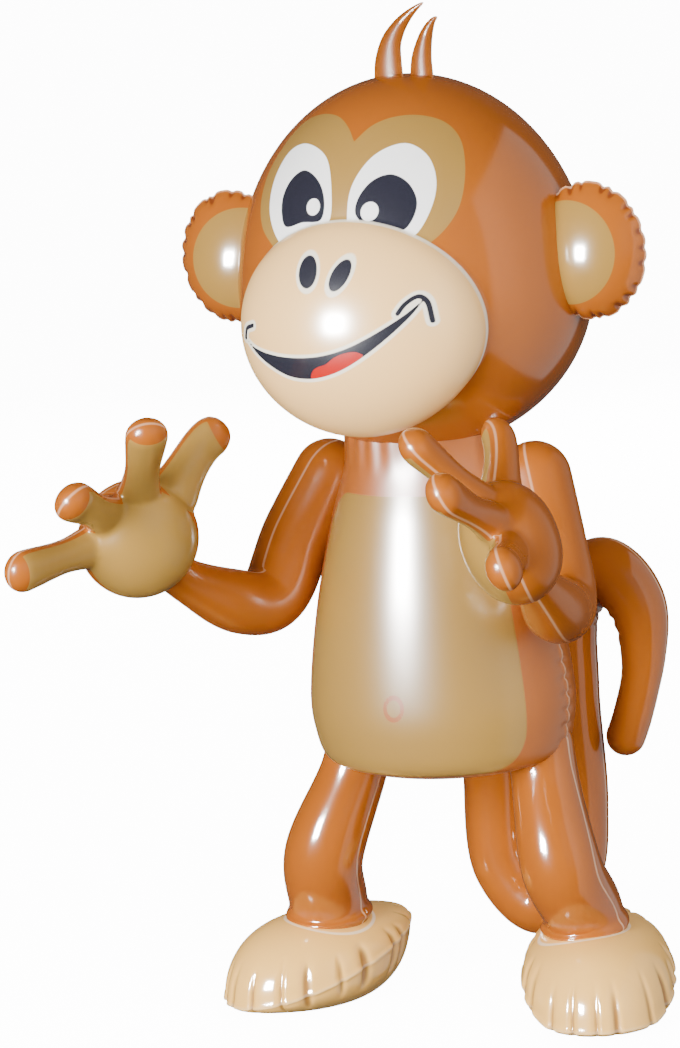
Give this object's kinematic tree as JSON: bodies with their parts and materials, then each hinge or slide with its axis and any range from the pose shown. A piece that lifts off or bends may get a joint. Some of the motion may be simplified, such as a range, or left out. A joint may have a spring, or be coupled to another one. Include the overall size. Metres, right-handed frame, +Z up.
{
  "type": "inflatable monkey",
  "caption": "Standing inflatable cartoon monkey with a large round head, domed muzzle, raised hands, puckered feet and a hooked tail.",
  "frame": {"origin": "on the floor, at the centre of the bounding box's footprint", "axes": "+Z up; the monkey faces -Y; +X is the monkey's own left"},
  "size_m": [0.3172, 0.335, 0.5991],
  "materials": {
    "orange_vinyl": "glossy PVC film, warm orange-brown with tan prints on face, belly, ears and palms",
    "tan_vinyl": "glossy PVC film, pale tan",
    "valve_plastic": "moulded soft plastic, slightly dull"
  },
  "bodies": {
    "root": {"head": "orange_vinyl", "hair_tuft": "orange_vinyl", "torso": "orange_vinyl", "tail": "orange_vinyl", "air_valve": "valve_plastic", "left_ear": "orange_vinyl", "left_arm": "orange_vinyl", "left_leg": "orange_vinyl", "left_foot": "tan_vinyl", "right_ear": "orange_vinyl", "right_arm": "orange_vinyl", "right_leg": "orange_vinyl", "right_foot": "tan_vinyl"}
  },
  "joints": []
}
